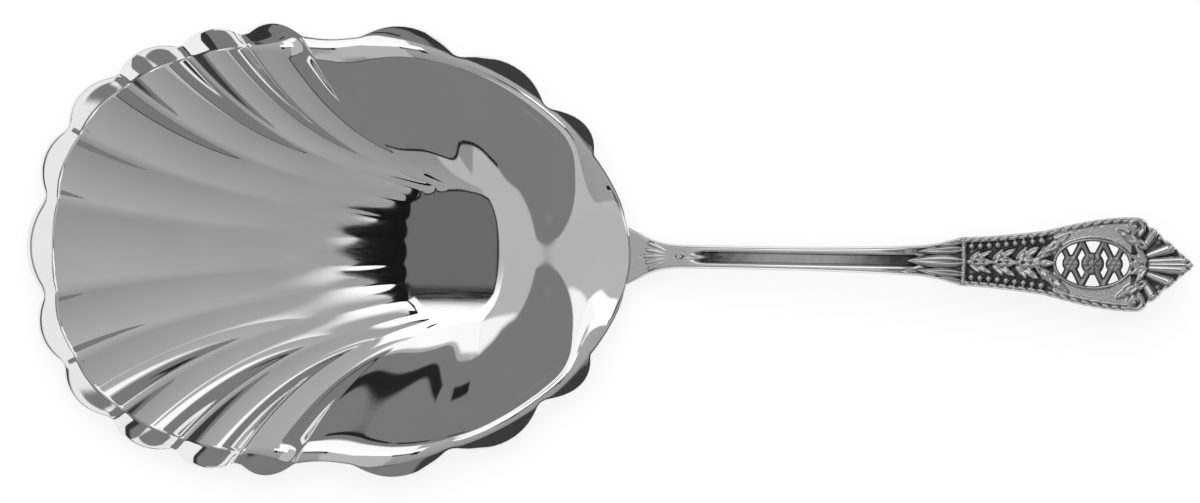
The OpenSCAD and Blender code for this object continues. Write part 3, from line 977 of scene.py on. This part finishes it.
    def opening(self, s: Array, y: Array) -> Array:
        """Distance from places on the handle to the metal round them.

        Args:
            s: Distances along the handle.
            y: Places across it.

        Returns:
            The distances, above 0 in the openings of the trellis window.
        """
        a, b = self.window_length / 2, self.window_width / 2
        far = s - self.window_s
        gap = -self.from_oval(s, y)
        lean = math.atan2(2 * b * math.sqrt(1 - (self.trellis_pitch / 2 / a) ** 2), self.trellis_pitch)
        for k in range(-2, 3):
            for turn in (lean, -lean):
                line = np.abs((far - k * self.trellis_pitch) * math.sin(turn) - y * math.cos(turn))
                gap = np.minimum(gap, line - self.bar_width / 2)
        for k, radius in ((-1, self.side_boss), (0, self.middle_boss), (1, self.side_boss)):
            gap = np.minimum(gap, np.hypot(far - k * self.trellis_pitch, y) - radius)
        return gap

    def from_oval(self, s: Array, y: Array) -> Array:
        """Distance from the window's oval edge.

        Args:
            s: Distances along the handle.
            y: Places across it.

        Returns:
            The distances, below 0 inside the oval.
        """
        a, b = self.window_length / 2, self.window_width / 2
        far = s - self.window_s
        q = np.hypot(far / a, y / b) + 1e-9
        return (q - 1) * q / (np.hypot(far / a ** 2, y / b ** 2) + 1e-9)

    def plain_top(self, s: Array, y: Array) -> Array:
        """Top before its raised work: two rails beside a channel or a sunk ground.

        Args:
            s: Distances along the handle.
            y: Places across it, from the middle outward.

        Returns:
            Heights over the plain arched top.
        """
        half, (wide, deep) = self.half_width(s), self.sunk(s)
        radius = np.maximum(0.05, np.minimum(0.6, (half - wide) / 2))
        inner, outer = clamp01((wide + radius - y) / radius), clamp01((y - half + radius) / radius)
        return self.crest - (self.crest + deep) * (1 - cap(inner)) - self.drop(s) * (1 - cap(outer))

    def heel_and_sheath(self, work: Relief) -> None:
        """Adds a small shell on the heel, a bud in the channel and leaves round the flare.

        Args:
            work: The raised work that takes them.
        """
        for k in range(3):
            work.rib([(8.2, 0.12 * k), (2.6 + 0.45 * k, 1.15 * k)], (0.2, 0.52), -0.12)
        work.bead(9.1, 0.0, 0.55, 0.0)
        for k in (1, 2):
            work.bead(2.5 + 0.5 * k, 1.15 * k - 0.58, 0.26, -0.05)
        work.leaf((self.s_stem, 0.0), (self.s_stem + 4.2, 0.0), 0.62, -0.45, 0.7)
        a, b = self.s_shoulder, self.s_flare
        for root, tip, width in (((a + 0.4, 0.0), (b - 1.4, 0.0), 1.3), ((a + 0.4, 2.3), (b + 0.6, 1.7), 0.85),
                                 ((a + 0.2, 3.75), (b + 4.0, 2.9), 0.6)):
            work.leaf(root, tip, width, -0.35, 0.85)

    def panel(self, work: Relief) -> None:
        """Adds a collar, rows of pearls and a chain of husks on the panel.

        Args:
            work: The raised work that takes them.
        """
        work.rib([(self.s_shoulder + 0.3, 0.0), (self.s_shoulder + 0.1, 4.2)], (0.42, 0.42), -0.15)
        row = np.linspace(self.s_shoulder + 1.6, self.s_panel - 0.6, 9)
        line = self.half_width(row) - self.border_width - self.pearl_radius
        for s, y in zip(row, line):
            work.bead(s, y, self.pearl_radius, -0.2)
        for k in range(3):
            s, size = self.s_shoulder + 1.2 + 4.3 * k, 1 + 0.22 * k
            work.leaf((s + 0.4, 0.2), (s + 4.2, 2.1 * size), 0.85 * size, -0.4, 0.72, 2)
            work.leaf((s, 0.2), (s + 2.0, 2.1 * size), 0.5 * size, -0.42, 0.66)
            work.leaf((s + 0.2, 0.0), (s + 5.4, 0.0), 0.95 * size, -0.32, 0.85, 3)
            work.bead(s, 0.0, 0.55, -0.2)

    def pierced_end(self, work: Relief) -> None:
        """Adds the frame of the window, its trellis and rosettes, scrolls, leaves and a shell on the tip.

        Args:
            work: The raised work that takes them.
        """
        off = self.from_oval(work.s, work.y)
        work.lift(-0.1 + 0.34 * cap((off - 0.34) / 0.34), np.abs(off - 0.34) < 0.34)
        bars = -self.opening(work.s, work.y)
        work.lift(-0.75 + 0.7 * cap(1 - bars / self.bar_width * 2), (off < 0) & (bars > 0))
        work.rosette(self.window_s, self.middle_boss, 8, -0.45, 0.62)
        for k in (-1, 1):
            work.rosette(self.window_s + k * self.trellis_pitch, self.side_boss, 6, -0.5, 0.55)
        edge, out = self.s_end - 0.3, self.end_width / 2 - 1.75
        spiral = [(edge + (1.65 - 0.1 * k) * math.cos(math.radians(40 * k - 60)),
                   out + (1.65 - 0.1 * k) * math.sin(math.radians(40 * k - 60))) for k in range(15)]
        work.rib(spiral, (0.5, 0.36), -0.1)
        work.bead(edge, out, 0.55, 0.1)
        root = self.s_end + 1
        for k in range(4):
            far = blend(root, self.s_tip - 1.2, math.cos(math.radians(23 * k)) ** 1.4)
            y = (float(self.half_width(np.array(far))) - 0.95) * min(1, k)
            work.rib([(root - 0.6, 0.55 * k), (far, y)], (0.45, 1.15), -0.5, 0.85)
            work.bead(far + 0.1, y, 0.62, 0.22)
        for k in (0.5, 1.5, 2.5):
            far = blend(root, self.s_tip - 2.4, math.cos(math.radians(23 * k)) ** 1.4)
            work.bead(far, (float(self.half_width(np.array(far))) - 1.0) * min(1, k * 0.8), 0.42, -0.2)
        for tip, width in (((root - 3.0, 0.0), 0.85), ((root - 2.4, 1.9), 0.75), ((root - 1.2, 3.5), 0.75)):
            work.leaf((root + 0.7, 0.3), tip, width, -0.1, 0.75)
        work.leaf((root + 1.0, 3.0), (root - 4.8, 6.3), 1.2, -0.3, 0.8, 3)
        root = self.s_panel - 1.4
        work.leaf((root, 0.8), (root + 6.0, 5.4), 1.2, -0.35, 0.8, 3)
        work.leaf((root - 0.2, 0.6), (root + 3.0, 3.4), 0.85, -0.3, 0.8, 2)
        work.leaf((root, 0.0), (root + 3.6, 0.0), 0.85, -0.25, 0.75)
        work.bead(root + 1.0, 4.1, 0.62, -0.25)

    def surface(self, s: Array, y: Array) -> tuple[Array, Array]:
        """Top of the handle with all its work.

        Args:
            s: Distances along the handle, by row and column.
            y: Places across it.

        Returns:
            Heights over the plain arched top, and how matted the ground is there, from 0 to 1.
        """
        half, (wide, _) = self.half_width(s), self.sunk(s)
        y = np.abs(y)
        ground = self.plain_top(s, y)
        ornate = (s > self.s_shoulder) & (s < self.s_end - 1)
        off = self.from_oval(s, y)
        field_plain = ornate & (off > 0.68) & (s > self.s_panel + 1.6) & (y < wide)
        ground = np.where(field_plain, np.maximum(ground, -0.28), ground)
        ground -= 0.4 * smooth((s - self.s_end + 0.5) / 1.5) * smooth((half - y - 0.5) / 0.6)
        ground -= 0.4 * smooth((s - self.s_flare + 2.5) / 3) * (s < self.s_shoulder) * smooth((half - y - 0.35) / 0.4)
        gadroon = 0.26 * (np.abs(np.sin(math.pi * (s - 0.9 * y) / 1.6)) - 0.6)
        ground += np.where(ornate & (y > wide), gadroon * cap(clamp01((y - half + 0.55) / 0.55)), 0.0)
        work = Relief(s, y, ground)
        for add in (self.heel_and_sheath, self.panel, self.pierced_end):
            add(work)
        # Nothing stands out over the edge: the work fades where the section turns down.
        rim = clamp01((y - half + 0.5) / 0.5)
        height = np.minimum(work.height, blend(self.crest + 0.5, -self.drop(s), 1 - cap(rim)))
        height = height * smooth((s + 0.4) / 2.4)
        sunk = (height < -0.25) & (s > self.s_shoulder) & (off > 0)
        return height, np.where(field_plain & sunk, self.satin, sunk.astype(float))

    def grid(self) -> tuple[Array, Array]:
        """Sets out the mesh's rows and columns, closest together on the ornate end.

        Returns:
            Distances along the handle and places across it, by row and column.
        """
        ornate = self.s_flare - 2
        spans = ((0, self.s_stem), (self.s_stem + 0.7, ornate), (ornate + 0.16, self.s_last))
        rows = np.concatenate([np.linspace(*span, count) for span, count in zip(spans, self.row_counts)])
        x = np.linspace(-1, 1, self.column_count)
        s = np.repeat(rows[:, None], len(x), axis=1)
        return s, self.half_width(s) * blend(x, np.sin(math.pi / 2 * x), self.column_crowd)[None, :]

    def pierce(self, s: Array, y: Array) -> Array:
        """Moves the grid's places on to the edges of the openings and says which cells lie in them.

        Args:
            s: Distances along the handle, changed in place.
            y: Places across it, changed in place.

        Returns:
            True for each cell that is open.
        """
        cells = [k[1:, 1:] + k[1:, :-1] + k[:-1, 1:] + k[:-1, :-1] for k in (s, y)]
        is_open = self.opening(cells[0] / 4, cells[1] / 4) > 0
        count = np.zeros(s.shape, int)
        for r in (slice(None, -1), slice(1, None)):
            for c in (slice(None, -1), slice(1, None)):
                count[r, c] += is_open
        rim = (count > 0) & (count < 4)
        ps, py, step = s[rim], y[rim], 0.01
        for _ in range(3):
            gap = self.opening(ps, py)
            gs = (self.opening(ps + step, py) - self.opening(ps - step, py)) / (2 * step)
            gy = (self.opening(ps, py + step) - self.opening(ps, py - step)) / (2 * step)
            move = np.clip(gap / np.maximum(0.3, gs * gs + gy * gy), -0.12, 0.12)
            ps, py = ps - move * gs, py - move * gy
        s[rim], y[rim] = ps, py
        return is_open

    def blank(self) -> tuple[Array, Faces, Array, Array]:
        """Skin of the handle.

        Returns:
            Its points, its faces, and how recessed and how matted each point is.
        """
        s, y = self.grid()
        is_open = self.pierce(s, y)
        matted = self.surface(s, y)[1]
        # Heights are averaged over each place's surroundings, so that the work's edges aren't ragged.
        steps = (-self.soften, 0.0, self.soften)
        height = np.mean([self.surface(s + a, y + b)[0] for a in steps for b in steps], axis=0)
        level = self.top_height(s)
        top, low = level + height, level - self.depth(s, self.roundness(np.abs(y) / self.half_width(s)))
        # The first rows follow the curved edge of the bowl, a film of solder away from it.
        order = np.argsort(self.edge[:, 1])
        edge_x, edge_z = [np.interp(y, self.edge[order, 1], self.edge[order, k]) for k in (0, 2)]
        near = clamp01(1 - s / 1.5)
        x = self.start_x + s + near * (edge_x + self.solder_film - self.start_x)
        top = top + near * (edge_z - self.start_z)
        rows, columns = s.shape
        count = rows * columns
        points = np.concatenate([np.stack([x, y, z], axis=-1).reshape(-1, 3) for z in (top, low)])
        number = np.arange(count).reshape(rows, columns)
        under = number + count
        under[:, [0, -1]] = number[:, [0, -1]]
        ends = [quads(np.stack([number[k], under[k]]))[0] for k in (0, -1)]
        cells = [quads(number)[~is_open], quads(under)[~is_open][:, ::-1], ends[0][:, TURNED], ends[1][:, [3, 0, 1, 2]]]
        faces = np.concatenate(cells).tolist() + self.walls(is_open, number, under)
        # A face at the thin edge, where both sides share their points, keeps each point once.
        faces = [[int(k) for k in dict.fromkeys(f)] for f in faces]
        marks = [np.concatenate([k.ravel(), np.zeros(count)]) for k in (self.oxide(s, y, height, matted), matted)]
        return points, faces, marks[0], marks[1]

    def oxide(self, s: Array, y: Array, height: Array, matted: Array) -> Array:
        """How dark with oxide the top is.

        Args:
            s: Distances along the handle, by row and column.
            y: Places across it.
            height: Heights over the plain top.
            matted: How matted the ground is.

        Returns:
            Oxide from 0 to 1, by row and column.
        """
        hollow = 0.96 * clamp01((widened(height, 5) - height) / 0.15)
        dark = blend(0.5, 0.95, smooth((np.abs(s - self.s_stem - self.stem_length / 2) - 4) / 15))
        in_channel = (s > self.s_stem) & (s < self.s_shoulder) & (np.abs(y) < self.channel_width / 2)
        channel = dark * clamp01(-height / 0.45) * in_channel
        # The ornate parts keep a film of oxide on their high places too; the plain field of the end is wiped clean.
        film = np.interp(s, *zip(*self.oxide_film))
        film = np.where(self.from_oval(s, y) < 0.1, 0.6, film)
        return np.where(matted == self.satin, 0.04, np.max([hollow, channel, 0.6 * matted, film], axis=0))

    def walls(self, is_open: Array, number: Array, under: Array) -> Faces:
        """Faces through the metal round the openings.

        Args:
            is_open: True for each open cell.
            number: Point numbers of the upper grid.
            under: Point numbers of the lower grid.

        Returns:
            Corner numbers of each wall.
        """
        faces = []
        for r, c in zip(*np.nonzero(is_open)):
            corners = [(r, c), (r + 1, c), (r + 1, c + 1), (r, c + 1)]
            beside = [(r, c - 1), (r + 1, c), (r, c + 1), (r - 1, c)]
            for k, cell in enumerate(beside):
                if not is_open[cell]:
                    a, b = corners[k], corners[(k + 1) % 4]
                    faces.append([number[a], number[b], under[b], under[a]])
        return faces

    def film_sides(self) -> tuple[Array, Array, Array]:
        """The solder film's side against the bowl and its side against the handle, from its round end to the rim.

        Returns:
            The two sides by column and row, and the directions through the sheet.
        """
        front, rear, through = [], [], []
        for k in self.tongue_turns:
            c, t = self.bowl.neck_columns(math.sin(k) ** 0.6), blend(self.bowl.tongue_start, 1.0, 1 - math.cos(k))
            through.append(self.bowl.sheet_normal(c, t)[0])
            front.append(self.bowl.outside(c, t)[0])
            rear.append(front[-1] - self.solder_film * through[-1])
        turn = np.radians(self.neck.angle)
        away = np.stack([-np.cos(turn), self.neck.side * np.sin(turn), np.zeros_like(turn)], axis=-1)
        rear[-1] = rear[-1] + self.solder_film * away
        front.append(self.edge)
        rear.append(self.edge + self.solder_film * away)
        return np.stack(front, axis=1), np.stack(rear, axis=1), np.stack(through, axis=1)

    def tongue(self) -> tuple[Array, Faces]:
        """Rounded tongue under the bowl's back wall, soldered to it; it runs on into the heel's own underside.

        Returns:
            Its points and its faces.
        """
        _, top, normal = self.film_sides()
        x, y = self.edge[:, 0] + self.solder_film, self.edge[:, 1]
        round_off = self.roundness(np.abs(y) / np.abs(y).max())
        heel = np.stack([x, y, self.start_z - self.depth(np.zeros_like(y), round_off)], axis=-1)
        middle = len(y) // 2
        depth = float(np.linalg.norm(heel[middle] - top[middle, -2]))
        swell = depth * np.sin(self.tongue_turns) ** 0.8 * blend(0.6, 1.0, 1 - np.cos(self.tongue_turns))
        low = top[:, :-1] - (swell[None, :] * round_off[:, None])[..., None] * normal
        low[:, -1] = blend(low[:, -2], heel, 0.6)
        # The last row lies inside the heel.
        inner = np.stack([x + 1.3, 0.8 * y, np.full_like(y, self.start_z - 0.9)], axis=-1)
        top = np.concatenate([top, inner[:, None, :]], axis=1)
        low = np.concatenate([low, heel[:, None, :], (inner - [0, 0, 0.4])[:, None, :]], axis=1)
        points = np.concatenate([top.reshape(-1, 3), low.reshape(-1, 3)])
        return points, ribbon_faces(len(y), top.shape[1])

    def build(self) -> Object:
        """Makes the handle's mesh, with its recesses and matted ground marked for the finish.

        Returns:
            The new piece.
        """
        points, faces, deep, matted = self.blank()
        more, more_faces = self.tongue()
        faces += [[k + len(points) for k in f] for f in more_faces]
        piece = make_piece("struck_handle", np.concatenate([points, more]), faces, self.sharp_angle)
        mark(piece, "recess", np.concatenate([deep, np.zeros(len(more))]))
        mark(piece, "matted", np.concatenate([matted, np.zeros(len(more))]))
        return piece


@dataclass
class SolderJoint(SubAssembly):
    """The film of silver solder between the bowl and the handle."""

    node: ClassVar[str] = "solder_joint"
    slot: ClassVar[Slot] = Slot.SOLDER
    handle: StruckHandle
    sharp_angle: float = 40.0

    def build(self) -> Object:
        """Makes the film's mesh.

        Returns:
            The new piece.
        """
        front, rear, _ = self.handle.film_sides()
        points = np.concatenate([front.reshape(-1, 3), rear.reshape(-1, 3)])
        return make_piece("solder_film", points, ribbon_faces(*front.shape[:2]), self.sharp_angle)


@dataclass(frozen=True)
class Card:
    """A soft-edged card of the studio round the spoon.

    Its place is given by how far a direction leans from the zenith along X, along Y and in all: the tangent of half
    its angle.
    """

    name: str
    tone: str
    edge: float
    x: Pair = ALL
    y: Pair = ALL
    reach: Pair = ALL
    gain: float = 1.0


@dataclass
class Studio:
    """White floor, a tent of grey and white cards, a soft lamp and the camera straight over the spoon."""

    look_at: Triple = (27.09, 0.676, 10.0)
    turn: float = 1.0
    lens: float = 300.0
    sensor: float = 36.0
    frame_width: float = 221.26
    clip: Pair = (0.01, 20.0)
    floor_size: float = 6.0
    paper: str = "#F2F2F2"
    paper_glow: float = 0.8
    lamp_power: float = 24.0
    lamp_size: float = 1.6
    lamp_place: Triple = (0.0, 0.3, 1.6)
    lamp_tilt: float = -10.0
    silver_loss: float = 1.15
    ceiling: tuple[str, str] = ("#939393", "#AEAEAE")
    ceiling_side: float = 0.45
    cards: tuple[Card, ...] = (
        Card("side_walls", "#7A7A7A", 0.006, reach=(0.485, FAR)),
        Card("rear_wall", "#3C3C3C", 0.03, x=(0.27, FAR), reach=(0.56, FAR)),
        Card("front_room", "#404040", 0.02, x=(-FAR, -0.60), y=(-0.60, 0.60), reach=(0.96, FAR)),
        Card("front_horizon", "#ECECEC", 0.015, x=(-FAR, -0.36), reach=(0.82, 0.96)),
        Card("front_glow", "#ECECEC", 0.06, x=(-FAR, -0.60), y=(-0.13, 0.13), reach=(-FAR, 0.96)),
        Card("front_wings", "#ECECEC", 0.03, x=(-FAR, -0.70), y=(-0.26, 0.26), reach=(-FAR, 0.96)),
        Card("left_room", "#343434", 0.01, x=(-0.12, 0.35), y=(0.70, FAR), reach=(0.815, FAR)),
        Card("right_room", "#343434", 0.02, x=(-0.80, 0.10), y=(-FAR, -0.50), reach=(0.93, FAR)),
        Card("front_panel", "#B8B8B8", 0.01, x=(-FAR, -0.05), reach=(-FAR, 0.485)),
        Card("right_gap", "#202020", 0.003, x=(-0.30, 0.03), y=(-FAR, -0.28), reach=(0.486, 0.502)),
        Card("left_window", "#FFFFFF", 0.015, x=(-0.15, 0.105), y=(0.02, 0.24), gain=1.1),
        Card("far_window", "#FFFFFF", 0.015, x=(-0.15, 0.03), y=(0.20, 0.45), reach=(-FAR, 0.48)),
        Card("front_window", "#FAFAFA", 0.02, x=(-0.42, -0.14), y=(0.24, 0.48), reach=(-FAR, 0.48)),
        Card("left_gap", "#232323", 0.006, x=(-0.09, 0.03), y=(0.40, FAR), reach=(0.585, 0.632)),
        Card("dark_strip", "#161616", 0.0008, x=(0.054, 0.101), y=(-0.10, 0.062)),
        Card("roof_gap", "#161616", 0.002, x=(-0.064, 0.060), y=(-0.047, 0.027)),
        Card("roof_card", "#6C6C6C", 0.002, x=(-0.056, 0.052), y=(-0.039, 0.019)),
    )

    def floor(self) -> None:
        """Makes the white floor, which keeps a faint shadow."""
        half = self.floor_size / 2 / MM
        corners = np.array([[-half, -half, 0], [half, -half, 0], [half, half, 0], [-half, half, 0]])
        plane = make_piece("studio_floor", corners, [[0, 1, 2, 3]])
        made = bpy.data.materials.new("white_studio_floor")
        tree = cleared(made)
        path = add_node(tree, "ShaderNodeLightPath").outputs
        seen = add_node(tree, "ShaderNodeMath", {0: path["Is Camera Ray"], 1: path["Is Glossy Ray"]}, operation="ADD")
        seen = add_node(tree, "ShaderNodeMath", {0: seen.outputs[0], 1: path["Is Transmission Ray"]}, operation="ADD",
                        use_clamp=True)
        share = add_node(tree, "ShaderNodeMath", {0: seen.outputs[0], 1: self.paper_glow}, operation="MULTIPLY")
        paper = add_node(tree, "ShaderNodeBsdfDiffuse", {"Color": linear(self.paper)})
        white = add_node(tree, "ShaderNodeEmission", {"Color": linear("#FFFFFF"), "Strength": 1.0})
        both = add_node(tree, "ShaderNodeMixShader", {0: share.outputs[0], 1: paper.outputs[0], 2: white.outputs[0]})
        add_node(tree, "ShaderNodeOutputMaterial", {"Surface": both.outputs[0]})
        plane.data.materials.append(made)

    def world(self) -> None:
        """Lights the spoon from the cards, laid one over the other in order."""
        world = bpy.data.worlds.new("card_tent")
        bpy.context.scene.world = world
        tree = cleared(world)
        way = add_node(tree, "ShaderNodeTexCoord").outputs["Generated"]
        axes = add_node(tree, "ShaderNodeSeparateXYZ", {0: way}).outputs
        # A little over 1, so that straight down isn't divided by 0.
        down = add_node(tree, "ShaderNodeMath", {0: axes["Z"], 1: 1.0002}, operation="ADD").outputs[0]
        lean = [add_node(tree, "ShaderNodeMath", {0: axes[k], 1: down}, operation="DIVIDE").outputs[0] for k in "XY"]
        plan = add_node(tree, "ShaderNodeCombineXYZ", {0: lean[0], 1: lean[1]}).outputs[0]
        lean.append(add_node(tree, "ShaderNodeVectorMath", {0: plan}, operation="LENGTH").outputs["Value"])
        # The ceiling grows lighter to the left of the spoon, and the cards lie over it.
        rise = add_node(tree, "ShaderNodeMapRange", {
            "Value": lean[1], "From Min": -self.ceiling_side, "From Max": self.ceiling_side}).outputs[0]
        tones = [linear(k) for k in self.ceiling]
        colour = add_node(tree, "ShaderNodeMix", {0: rise, 6: tones[0], 7: tones[1]}, data_type="RGBA").outputs[2]
        for card in self.cards:
            sides = []
            for value, span in zip(lean, (card.x, card.y, card.reach)):
                for limit, soft in zip(span, (card.edge, -card.edge)):
                    if abs(limit) < FAR:
                        sides.append(add_node(tree, "ShaderNodeMapRange", {
                            "Value": value, "From Min": limit - soft, "From Max": limit + soft},
                            interpolation_type="SMOOTHSTEP").outputs[0])
            mask = sides[0]
            for side in sides[1:]:
                mask = add_node(tree, "ShaderNodeMath", {0: mask, 1: side}, operation="MULTIPLY").outputs[0]
            tone = tuple(card.gain * k for k in linear(card.tone)[:3]) + (1.0,)
            colour = add_node(tree, "ShaderNodeMix", {0: mask, 6: colour, 7: tone}, data_type="RGBA",
                              label=card.name).outputs[2]
        light = add_node(tree, "ShaderNodeBackground", {"Color": colour, "Strength": self.silver_loss})
        add_node(tree, "ShaderNodeOutputWorld", {"Surface": light.outputs[0]})

    def lamp(self) -> None:
        """Adds the soft lamp that brings the scene to a plain level; mirrors see the cards instead."""
        data = bpy.data.lights.new("soft_lamp", "AREA")
        data.shape, data.size, data.energy = "DISK", self.lamp_size, self.lamp_power
        lamp = bpy.data.objects.new("soft_lamp", data)
        lamp.location = self.lamp_place
        lamp.rotation_euler = (math.radians(self.lamp_tilt), 0, 0)
        lamp.visible_glossy = lamp.visible_camera = False
        bpy.context.scene.collection.objects.link(lamp)

    def camera(self) -> None:
        """Sets the camera straight over the spoon, turned as in the photograph."""
        data = bpy.data.cameras.new("camera")
        data.lens, data.sensor_width, data.sensor_fit = self.lens, self.sensor, "HORIZONTAL"
        data.clip_start, data.clip_end = self.clip
        camera = bpy.data.objects.new("camera", data)
        x, y, z = self.look_at
        camera.location = (x * MM, y * MM, (z + self.frame_width * self.lens / self.sensor) * MM)
        camera.rotation_euler = (0.0, 0.0, math.radians(self.turn))
        bpy.context.scene.collection.objects.link(camera)
        bpy.context.scene.camera = camera

    def build(self) -> None:
        """Sets up the floor, the light and the camera."""
        for make in (self.floor, self.world, self.lamp, self.camera):
            make()


def main() -> None:
    """Builds the spoon's pieces in order, then the studio."""
    logging.basicConfig(level=logging.INFO, format="%(message)s")
    bpy.context.scene.view_settings.view_transform = "Standard"
    bowl = FlutedBowl()
    handle = StruckHandle(bowl)
    bowl.dress(PolishedSilver())
    handle.dress(StruckSilver())
    SolderJoint(handle).dress(SatinSolder())
    Studio().build()


if __name__ == "__main__":
    main()
